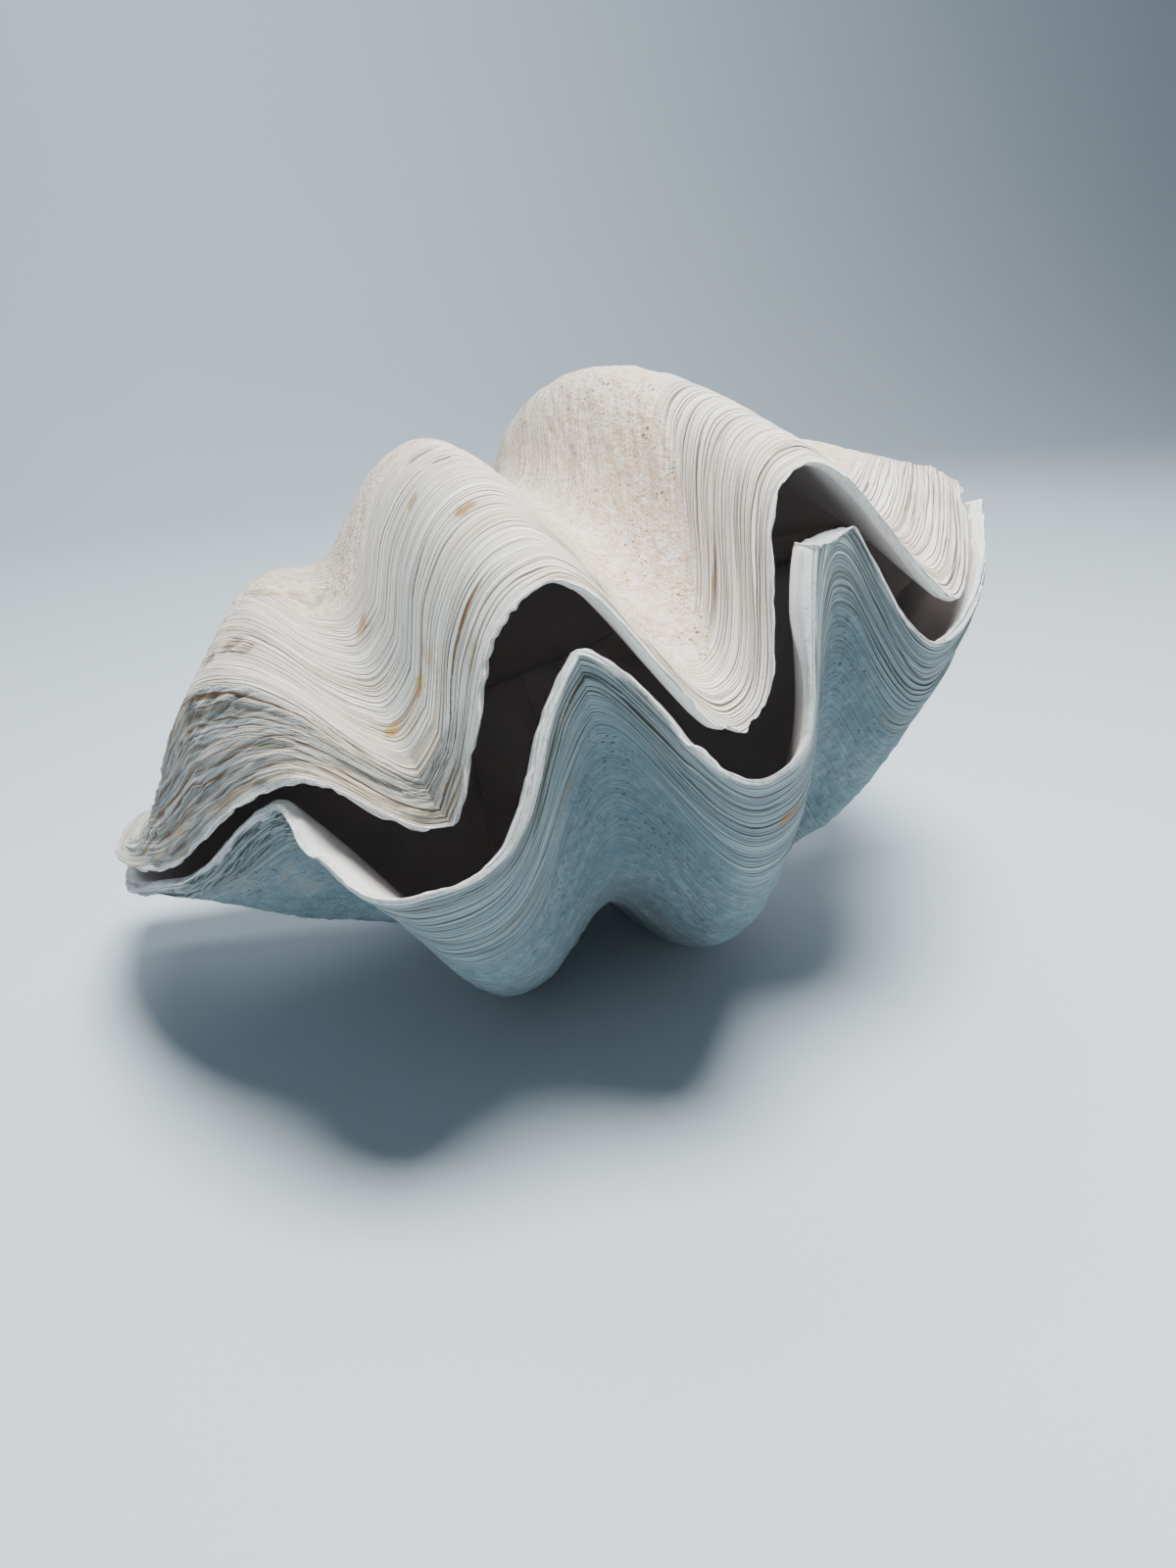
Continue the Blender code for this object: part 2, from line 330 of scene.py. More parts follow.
# Places worn down to grey and brown layers, in the same units.
UPPER_WORN = [
    (2.30, 96.0, 7.0, 4.0, 1.0),
    (2.40, 108.0, 9.0, 5.0, 1.0),
    (2.20, 112.0, 6.0, 6.0, 0.9),
    (2.62, 98.0, 8.0, 7.0, 0.9),
    (2.85, 97.0, 9.0, 6.0, 1.0),
    (2.98, 88.0, 7.0, 5.0, 0.9),
    (3.10, 150.0, 16.0, 9.0, 0.6),
    (3.62, 155.0, 16.0, 8.0, 0.6),
    (4.87, 133.0, 9.0, 4.0, 1.0),
    (4.94, 115.0, 6.0, 3.0, 0.8),
    (2.50, 62.0, 7.0, 10.0, 0.7),
]
LOWER_WORN = [
    (2.60, 50.0, 14.0, 20.0, 0.7),
    (2.30, 25.0, 14.0, 12.0, 0.6),
]
# How far the porcelain colour goes in from the free edge before the painted shade of the hollow takes over: ray,
# millimetres.
UPPER_PORCELAIN = [(0, 8), (4, 4), (4.9, 4), (5.2, 10), (5.5, 16), (6, 6), (6.3, 4), (7, 6), (7.2, 18), (7.5, 30), (8, 24), (9, 12), (12, 8)]
LOWER_PORCELAIN = [(0, 10), (2.8, 18), (3.2, 38), (3.6, 34), (4, 9), (4.6, 3), (5.5, 3), (6, 5), (6.3, 22), (6.6, 34), (7, 30), (7.3, 8), (8, 14), (9, 10), (12, 8)]


def mark(table, t, along, g, warp):
    total = np.zeros(np.broadcast(along[None], g).shape)
    for ray, growth, wide, tall, strength in table:
        at = np.interp(ray, t, along)
        d = ((along[None] - at) / wide) ** 2 + ((g - growth) / tall) ** 2
        total = np.maximum(total, strength * step(1.25, 0.6, np.sqrt(d) + 0.55 * warp))
    return total


def edge_retreat(name, t, along):
    """How far the free edge is worn back along the growth, in millimetres."""
    upper = name == "upper"
    back = 0.2 + 0.5 * np.abs(fbm(along / 26.0, 0.3, 11 if upper else 21, 3))
    back = back + (1.9 if upper else 0.9) * np.abs(noise2(along / 5.6, 4.4, 12 if upper else 22)) ** 1.5
    back = back + (1.1 if upper else 0.6) * np.abs(noise2(along / 12.5, 6.2, 15 if upper else 25))
    if upper:
        facets = step(4.15, 4.4, t) * step(5.2, 4.85, t) + 0.7 * step(5.75, 5.95, t) * step(6.4, 6.2, t)
        back = back + 2.6 * facets * np.abs(noise2(along / 6.5, 8.1, 13))
        back = back + 4.0 * step(8.3, 8.7, t) * step(9.8, 9.4, t) * np.abs(noise2(along / 7.0, 5.3, 14))
    else:
        back = back + 7.0 * step(8.5, 8.75, t) * step(9.9, 9.5, t) * np.abs(noise2(along / 8.0, 3.3, 24))
    for ray, wide, deep in UPPER_CHIPS if upper else LOWER_CHIPS:
        lip = np.clip(1.25 - np.abs(t - ray) / wide, 0.0, 1.0)
        back = back + deep * lip * (0.8 + 0.3 * noise2(along / 2.6, ray, 31))
    ends = step(0.0, 0.7, t) * step(0.0, 0.7, LAST - t)
    return np.clip(back, 0.0, 11.0) * ends


def relief(name, t, along, g):
    """(height in mm, and the masks that colour the surface) of the outer face."""
    upper = name == "upper"
    seed = 100 if upper else 200
    m = along[None] * (1.0 - 0.75 * g / GROWTH)
    tt = np.broadcast_to(t[None], g.shape)

    # Where the chalky, pitted surface takes over from the crisp layers.
    if upper:
        start = np.interp(
            t,
            [0, 1, 2, 3, 4, 4.6, 5.0, 5.5, 6.0, 6.17, 6.33, 6.6, 7, 7.5, 8, 9, 12],
            [90, 90, 110, 150, 130, 150, 140, 22, 27, 40, 58, 62, 90, 110, 80, 60, 70],
        )
    else:
        start = np.interp(
            t,
            [0, 1, 2, 3, 3.6, 4, 4.5, 5, 5.5, 6, 6.5, 7, 8, 9, 12],
            [20, 20, 12, 25, 50, 58, 48, 30, 40, 62, 55, 22, 45, 30, 40],
        )
    rough = step(-10, 12, g - start[None] + 9.0 * fbm(m / 28.0, g / 28.0, seed + 3, 3))

    # The upper valve's first fold drops from a shoulder to its edge as a wall of stacked flakes.
    if upper:
        shoulder = np.interp(
            t, [0, 1.6, 2.0, 2.42, 2.91, 3.17, 3.46, 3.79, 3.94, 4.3, 5.0], [28, 34, 75, 85, 59, 46, 35, 29, 23, 14, 12]
        )
        wall_part = step(1.5, 2.1, tt) * step(4.45, 4.05, tt)
    else:
        shoulder = np.full(t.shape, 30.0)
        wall_part = np.zeros(g.shape)
    b = shoulder[None]
    layered = np.where(g < b, g * (30.0 / b), 30.0 + g - b)
    layered = g + (layered - g) * np.clip(wall_part * 1.5, 0, 1)
    on_wall = wall_part * step(2.0, -3.0, g - b + 2.0 * fbm(m / 14.0, g / 30.0, seed + 5, 2))

    gw = layered + 1.1 * fbm(m / 46.0, g / 60.0, seed + 7, 3) + 0.35 * fbm(m / 9.0, g / 12.0, seed + 9, 2)

    rng = np.random.RandomState(seed)
    height = np.zeros(g.shape)
    line = np.zeros(g.shape)
    x, k = 1.6, 0
    while x < 440.0:
        spacing = 1.9 + 0.021 * min(x, 60.0) + 0.008 * max(x - 60.0, 0.0)
        big = rng.rand()
        lift = 0.30 + 1.35 * big**2.0
        dark = rng.rand() ** 1.6
        span = 3.0 + 5.0 * rng.rand()
        flake = 1.3 * step(0.25, 0.6, noise2(m / 11.0, k * 2.7 + 0.5, seed + 13))
        d = gw - x - 0.45 * noise2(m / 17.0, k * 3.3, seed + 11) - flake * (0.4 + on_wall)
        here = 0.55 + 0.6 * noise2(m / 38.0, k * 5.1, seed + 15)
        here = np.clip(here, 0.0, 1.0)
        height += lift * here * (0.5 + 0.5 * np.tanh(d / 0.5)) * np.exp(-np.maximum(d, 0.0) / span)
        there = np.clip(0.25 + 0.95 * noise2(m / 55.0, k * 4.3 + 9.0, seed + 17), 0.0, 1.0)
        line += dark * there * np.exp(-(((d + 0.35) / (0.42 + 0.3 * big)) ** 2))
        x += spacing * rng.uniform(0.5, 1.6)
        k += 1
    near_edge = step(75.0, 5.0, g)
    strength = 0.42 + 0.75 * near_edge
    if upper:
        strength = strength * (1.0 - 0.45 * bell(tt, 3.2, 0.75) * (1 - on_wall))
        strength = strength + 0.7 * on_wall
    height = height * strength * (1.0 - 0.72 * rough)
    height += (0.35 if upper else 0.9) * (1.0 - rough)

    # Chalky grain, shallow pits and worn hollows.
    grain = fbm(m / 5.5, g / 5.5, seed + 21, 4, 0.62)
    height += rough * (0.5 * grain + 0.45 * fbm(m / 15.0, g / 13.0, seed + 25, 3))
    pits = step(0.52, 0.72, noise2(m / 2.2, g / 2.2, seed + 29)) * step(-0.1, 0.35, fbm(m / 24, g / 20, seed + 31, 2))
    height -= 0.28 * pits * rough
    # Slow unevenness of the growth, and the flaky wall.
    height += 0.75 * fbm(m / 62.0, gw / 26.0, seed + 33, 3)
    depth = g + 1.6 * fbm(m / 30.0, g / 40.0, seed + 39, 2)
    height += on_wall * (1.5 * fbm(m / 34.0, depth / 2.9, seed + 37, 3) - 0.3)
    if upper:
        height += 4.2 * wall_part * np.where(g > b, np.exp(-((g - b) / 30.0) ** 2), np.clip(g / b, 0, 1) ** 1.25)
    else:
        # Thin sheets stand off the outside of the bulge at the low end.
        ledge = step(1.7, 2.2, tt) * step(3.5, 3.1, tt)
        sheets = gw + 3.5 * noise2(m / 13.0, 0.7, 77) + 1.5 * noise2(m / 5.0, 3.1, 78)
        for at, lift in ((5.0, 2.4), (11.0, 2.2), (18.0, 1.6), (27.0, 1.0)):
            d = sheets - at
            height += ledge * lift * (0.5 + 0.5 * np.tanh(d / 0.5)) * np.exp(-np.maximum(d, 0) / 4.5)
            line += ledge * 0.8 * np.exp(-(((d + 0.5) / 0.6) ** 2))
        bulge = step(1.6, 2.2, tt) * step(3.3, 2.8, tt) * step(8, 24, g)
        height += bulge * 0.9 * fbm(m / 9.0, g / 11.0, seed + 41, 4, 0.6)

    warp = 1.5 * fbm(m / 4.5, g / 3.5, seed + 45, 3)
    stain = mark(UPPER_STAINS if upper else LOWER_STAINS, t, along, g, warp)
    worn = mark(UPPER_WORN if upper else LOWER_WORN, t, along, g, warp)
    height -= 1.1 * worn * (0.5 + 0.8 * np.abs(fbm(m / 7.0, g / 2.2, seed + 49, 3)))

    # Painted reflection: aqua patches near the edge between rays 3.8 and 5, at the low left end and on the wall,
    # standing in for blue light reflected into their shade.
    painted_blue_reflection = np.zeros(g.shape)
    if upper:
        painted_blue_reflection = 0.9 * step(3.8, 4.05, tt) * step(5.0, 4.5, tt) * step(150.0, 60.0, g)
        painted_blue_reflection = np.maximum(painted_blue_reflection, 0.75 * step(2.1, 1.4, tt))
        painted_blue_reflection = np.maximum(painted_blue_reflection, 0.55 * on_wall)
    fade = step(0.0, 2.2, g)
    calm = step(0.1, 0.9, t) * step(0.1, 0.9, LAST - t)
    beak = step(1.0, 0.86, g / (GROWTH * (1.0 - UMBO_SHARE)))
    height = height * fade * calm[None] * beak
    line = np.clip(line, 0.0, 1.4) * (0.55 + 0.75 * near_edge) * (1.0 - 0.75 * rough) * fade
    return height, {
        "line": np.clip(line, 0, 1),
        "rough": rough,
        "stain": stain,
        "worn": worn,
        "painted_blue_reflection": painted_blue_reflection,
        "wall": on_wall,
        "layer": gw,
        "across": m,
        "depth": depth,
    }


# ---------------------------------------------------------------- building a valve
COLUMNS = np.concatenate(
    [
        np.linspace(0.0, 1.0, 17)[:-1],
        np.linspace(1.0, 4.0, 103)[:-1],
        np.linspace(4.0, 7.3, 163)[:-1],
        np.linspace(7.3, 9.4, 73)[:-1],
        np.linspace(9.4, 12.0, 39),
    ]
)
OUTER_ROWS = np.concatenate(
    [
        [0.0, 0.35],
        np.arange(0.9, 30.0, 0.62),
        np.arange(30.0, 62.0, 0.85),
        np.arange(62.0, 120.0, 1.25),
        np.arange(120.0, 190.0, 2.0),
        np.linspace(190.0, GROWTH * (1 - UMBO_SHARE), 34),
    ]
)
INNER_ROWS = np.concatenate(
    [[0.0, 0.4, 1.5], np.linspace(4.0, 60.0, 13)[:-1], np.linspace(60.0, GROWTH * (1 - CAVITY_SHARE) - 4.0, 16)]
)
RIM_SHARES = (0.07, 0.36, 0.64, 0.93)


def valve_arrays(name, valve):
    side = valve["side"]
    t = COLUMNS
    edge = skin(valve, t, np.ones((1, len(t))))[0]
    along = np.concatenate([[0.0], np.cumsum(np.linalg.norm(np.diff(edge, axis=0), axis=1))]) * 1000.0
    back = edge_retreat(name, t, along)

    g = OUTER_ROWS[:, None] + back[None] * np.exp(-OUTER_ROWS[:, None] / 11.0)
    s = np.clip(1.0 - g / GROWTH, UMBO_SHARE, 1.0)
    outer = skin(valve, t, s)
    # The broken tooth is fuller than its neighbours beside the edge, up to where it is cut.
    fuller = 0.009 * bell(t, BROKEN_TOOTH[0] + 0.05, 0.36) if side < 0 else np.zeros(t.shape)
    outer[..., 2] += fuller[None] * np.exp(-((OUTER_ROWS[:, None] / 22.0) ** 2))
    normal = outward(outer, side)
    height, masks = relief(name, t, along, np.broadcast_to(g, s.shape))
    outer = outer + normal * (height / 1000.0)[..., None]
    flare = np.zeros(t.shape)
    if side < 0:
        flare = 0.0075 * step(2.95, 3.3, t) * step(4.0, 3.6, t) + 0.0012 * step(3.9, 4.2, t) * step(6.6, 6.2, t)
    outer = outer + normal * (flare[None] * np.exp(-OUTER_ROWS[:, None] / 13.0))[..., None]
    outer = keep_off_hinge_face(outer, t, s, side, 0.0005)
    outer = np.array(list(outer) + close_down(outer[-1], (0.82, 0.6), (0.6, 1.0), -0.012, side * HINGE_FACE_GAP))

    g_in = 4.0 + INNER_ROWS[:, None] + back[None] * np.exp(-INNER_ROWS[:, None] / 11.0)
    s_in = 1.0 - g_in / GROWTH
    kept = np.interp(s_in, [CAVITY_SHARE, 0.5, 0.9], [0.2, 0.55, 1.0])
    flattened = skin(valve, t, s_in, kept)
    flattened[..., 2] += fuller[None] * np.exp(-((INNER_ROWS[:, None] / 22.0) ** 2))
    thick = np.interp(
        s_in, [CAVITY_SHARE, 0.45, 0.85, 1.0], [BODY_THICKNESS, BODY_THICKNESS, 0.0075, EDGE_THICKNESS]
    )
    # The edge is sharp on the crests and a broad smooth lip in the bays.
    thin = step(0.0, 1.0, 0.5 - 0.5 * side * np.interp(t, np.arange(13), [0, 1, -1, 1, -1, 1, -1, 1, -1, 1, -1, 1, 0]))
    thick = thick - (0.0015 + 0.0009 * (1.0 - thin[None])) * np.exp(-INNER_ROWS[:, None] / 14.0)
    thick = thick - flare[None] * np.exp(-INNER_ROWS[:, None] / 13.0)
    broken = np.zeros(t.shape)
    if side < 0:
        broken = step(1.0, 0.7, np.abs(t - BROKEN_TOOTH[0]) / BROKEN_TOOTH[1])
        thick = thick + 0.0042 * broken[None] * np.exp(-INNER_ROWS[:, None] / 14.0)
    m = along[None] * s_in
    thick = thick + 0.00022 * fbm(m / 21.0, g_in / 26.0, 61 if side > 0 else 62, 3)
    inner = flattened - outward(flattened, side) * thick[..., None]
    flat = np.exp(-((t / 0.45) ** 2)) + np.exp(-(((LAST - t) / 0.45) ** 2))
    beside = flattened.copy()
    beside[..., 1] += 0.006
    beside[..., 2] = side * HINGE_FACE_GAP
    inner = inner + (beside - inner) * flat[None, :, None]
    inner = keep_off_hinge_face(inner, t, s_in, side, 0.0)
    inner = np.array(list(inner) + close_down(inner[-1], (0.92, 0.8), (0.5, 1.0), 0.014, side * HINGE_FACE_GAP))

    # The edge itself: a rounded strip with small breaks.
    ahead = outer[0] - outer[2]
    ahead /= np.maximum(np.linalg.norm(ahead, axis=-1, keepdims=True), 1e-9)
    free = step(0.2, 1.0, t) * step(0.2, 1.0, LAST - t)
    rim = []
    for k, f in enumerate(RIM_SHARES):
        bulge = 0.0005 * min(1.0, 5.0 * f, 5.0 - 5.0 * f) * free * (1.0 + (0.55 + 0.9 * broken) * noise2(along / 4.3, k * 1.9, 71))
        rim.append(outer[0] * (1 - f) + inner[0] * f + ahead * bulge[:, None])
    rim = np.array(rim)
    return t, along, g, outer, inner, rim, masks, broken


def zip_strip(a, b, pa, pb):
    """Triangles between two runs of vertices with unlike counts."""
    faces = []
    i = j = 0
    while i < len(a) - 1 or j < len(b) - 1:
        if j == len(b) - 1 or (i < len(a) - 1 and pa[i + 1] <= pb[j + 1]):
            faces.append((a[i], a[i + 1], b[j]))
            i += 1
        else:
            faces.append((a[i], b[j + 1], b[j]))
            j += 1
    return faces


def grid_faces(index):
    a, b = index[:-1, :-1], index[:-1, 1:]
    c, d = index[1:, 1:], index[1:, :-1]
    return np.stack([a, b, c, d], -1).reshape(-1, 4)


def build_valve(name, valve, material):
    side = valve["side"]
    t, along, g, outer, inner, rim, masks, broken = valve_arrays(name, valve)
    columns = len(t)
    n_out, n_rim, n_in = outer.shape[0], rim.shape[0], inner.shape[0]
    points = np.concatenate([outer.reshape(-1, 3), rim.reshape(-1, 3), inner.reshape(-1, 3)])
    points = points @ lying_rotation().T + PLACE
    points[:, 2] = np.maximum(points[:, 2], 0.0)
    level_cut = np.zeros(len(points))
    if side < 0:
        rays_of = np.tile(t, len(points) // columns)
        near = (np.abs(rays_of - BROKEN_TOOTH[0]) < 0.8) & (points[:, 1] < -0.02)
        level = BROKEN_TOOTH[2] + 0.0016 * fbm(points[:, 0] / 0.007, points[:, 1] / 0.007, 55, 3)
        level = level + np.minimum(0.0022 * ((rays_of - BROKEN_TOOTH[0]) / 0.25) ** 2, 0.006) - 0.0012
        level_cut = np.where(near, step(-0.0008, 0.0002, points[:, 2] - level), 0.0)
        points[:, 2] = np.where(near, np.minimum(points[:, 2], level), points[:, 2])
    oi = np.arange(n_out * columns).reshape(n_out, columns)
    ri = np.arange(n_rim * columns).reshape(n_rim, columns) + n_out * columns
    ii = np.arange(n_in * columns).reshape(n_in, columns) + (n_out + n_rim) * columns
    quads = [grid_faces(oi), grid_faces(ii)[:, ::-1]]
    quads.append(grid_faces(np.concatenate([oi[:1], ri, ii[:1]]))[:, ::-1])
    quads.append(grid_faces(np.stack([oi[-1], ii[-1]])))
    faces = [tuple(f) for q in quads for f in q.tolist()]
    for c in (0, columns - 1):
        a = oi[:, c].tolist()
        b = ri[:, c].tolist() + ii[:, c].tolist()
        pb = [0.0] * n_rim + list(np.linspace(0.0, 1.0, n_in) ** 0.9)
        strip = zip_strip(a, b, list(np.linspace(0.0, 1.0, n_out)), pb)
        faces += strip if c == 0 else [f[::-1] for f in strip]
    if side < 0:
        faces = [f[::-1] for f in faces]
    mesh = bpy.data.meshes.new(name + "_valve_shell")
    mesh.from_pydata(points.tolist(), [], faces)
    mesh.update()
    shape = bmesh.new()
    shape.from_mesh(mesh)
    bmesh.ops.recalc_face_normals(shape, faces=shape.faces[:])
    shape.to_mesh(mesh)
    shape.free()
    mesh.polygons.foreach_set("use_smooth", [True] * len(mesh.polygons))

    def attribute(label, on_outer, on_rim, on_inner):
        extra = n_out - on_outer.shape[0]
        on_outer = np.concatenate([on_outer, np.repeat(on_outer[-1:], extra, 0)]) if extra else on_outer
        values = np.concatenate([on_outer.ravel(), on_rim.ravel(), on_inner.ravel()]).astype(np.float32)
        mesh.attributes.new(label, "FLOAT", "POINT").data.foreach_set("value", values)

    zr, zi = np.zeros((n_rim, columns)), np.zeros((n_in, columns))
    for label in ("line", "stain", "worn", "painted_blue_reflection", "wall"):
        attribute(label, masks[label], zr, zi)
    cut_out = level_cut[: n_out * columns].reshape(n_out, columns)[: g.shape[0]]
    cut_rim = level_cut[n_out * columns : (n_out + n_rim) * columns].reshape(n_rim, columns)
    cut_in = level_cut[(n_out + n_rim) * columns :].reshape(n_in, columns)
    attribute("rough", np.maximum(masks["rough"], cut_out), cut_rim, cut_in)
    depth = np.concatenate([INNER_ROWS, INNER_ROWS[-1:], INNER_ROWS[-1:]])[:, None] + zi
    attribute("layer", masks["layer"], zr, depth)
    attribute("depth", masks["depth"], zr, depth)
    attribute("across", masks["across"], zr + along, zi + along)
    k = np.array(RIM_SHARES)[:, None]
    lip_width = 3.2 + 2.4 * noise2(along / 15.0, 1.1, 93)
    if name == "upper":
        lip_width = lip_width + 3.5 * step(4.2, 4.4, t) * step(5.1, 4.8, t)
    lip = step(1.0, 0.45, OUTER_ROWS[:, None] / np.maximum(lip_width, 1.2)[None])
    attribute("lip", np.maximum(lip * (1 - cut_out), 0.8 * cut_out), 1.0 - 0.2 * cut_rim, np.maximum(zi + step(9.0, 0.0, depth), 0.8 * cut_in))
    attribute("inside", np.zeros(g.shape), (zr + step(0.35, 0.8, k)) * (1.0 - cut_rim), 1.0 - cut_in)
    reach = 1.0 + 0.3 * fbm(along[None] / 40.0, depth / 30.0, 91, 2)
    rays, widths = zip(*(UPPER_PORCELAIN if name == "upper" else LOWER_PORCELAIN))
    # deep: how far the painted shade of the hollow has taken over the porcelain colour inside.
    attribute("deep", np.zeros(g.shape), zr, step(0.3, 1.25, depth * reach / np.interp(t, rays, widths)))

    piece = bpy.data.objects.new(name + "_valve_shell", mesh)
    bpy.context.scene.collection.objects.link(piece)
    mesh.materials.append(material)
    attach(piece, "root")
    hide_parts(name + "_valve")
    return piece


# ---------------------------------------------------------------- materials
class Graph:
    """A small helper that wires shader nodes."""

    def __init__(self, name):
        self.material = bpy.data.materials.new(name)
        self.material.use_nodes = True
        self.tree = self.material.node_tree
        self.shader = self.tree.nodes["Principled BSDF"]

    def node(self, kind, **settings):
        made = self.tree.nodes.new(kind)
        for key, value in settings.items():
            setattr(made, key, value)
        return made

    def put(self, socket, value):
        if isinstance(value, bpy.types.NodeSocket):
            self.tree.links.new(value, socket)
        elif isinstance(value, (tuple, list)) and len(value) == 3 and socket.type == "RGBA":
            socket.default_value = (*value, 1.0)
        else:
            socket.default_value = value

    def attr(self, label):
        made = self.node("ShaderNodeAttribute", attribute_name=label)
        return made.outputs["Fac"]

    def math(self, operation, a, b=0.0, clamp=False):
        made = self.node("ShaderNodeMath", operation=operation, use_clamp=clamp)
        self.put(made.inputs[0], a)
        self.put(made.inputs[1], b)
        return made.outputs[0]

    def scaled(self, a, b, c):
        made = self.node("ShaderNodeCombineXYZ")
        for socket, value in zip(made.inputs, (a, b, c)):
            self.put(socket, value)
        return made.outputs[0]

    def noise(self, vector, scale, detail=3.0, roughness=0.55, distortion=0.0):
        made = self.node("ShaderNodeTexNoise")
        self.put(made.inputs["Vector"], vector)
        made.inputs["Scale"].default_value = scale
        made.inputs["Detail"].default_value = detail
        made.inputs["Roughness"].default_value = roughness
        made.inputs["Distortion"].default_value = distortion
        return made.outputs["Fac"]

    def cells(self, vector, scale):
        made = self.node("ShaderNodeTexVoronoi")
        self.put(made.inputs["Vector"], vector)
        made.inputs["Scale"].default_value = scale
        return made.outputs["Distance"]

    def span(self, value, low, high, to_low=0.0, to_high=1.0):
        made = self.node("ShaderNodeMapRange", interpolation_type="SMOOTHSTEP")
        self.put(made.inputs["Value"], value)
        made.inputs["From Min"].default_value = low
        made.inputs["From Max"].default_value = high
        made.inputs["To Min"].default_value = to_low
        made.inputs["To Max"].default_value = to_high
        return made.outputs[0]

    def mix(self, factor, a, b):
        made = self.node("ShaderNodeMix", data_type="RGBA")
        self.put(made.inputs["Factor"], factor)
        self.put(made.inputs[6], a)
        self.put(made.inputs[7], b)
        return made.outputs[2]


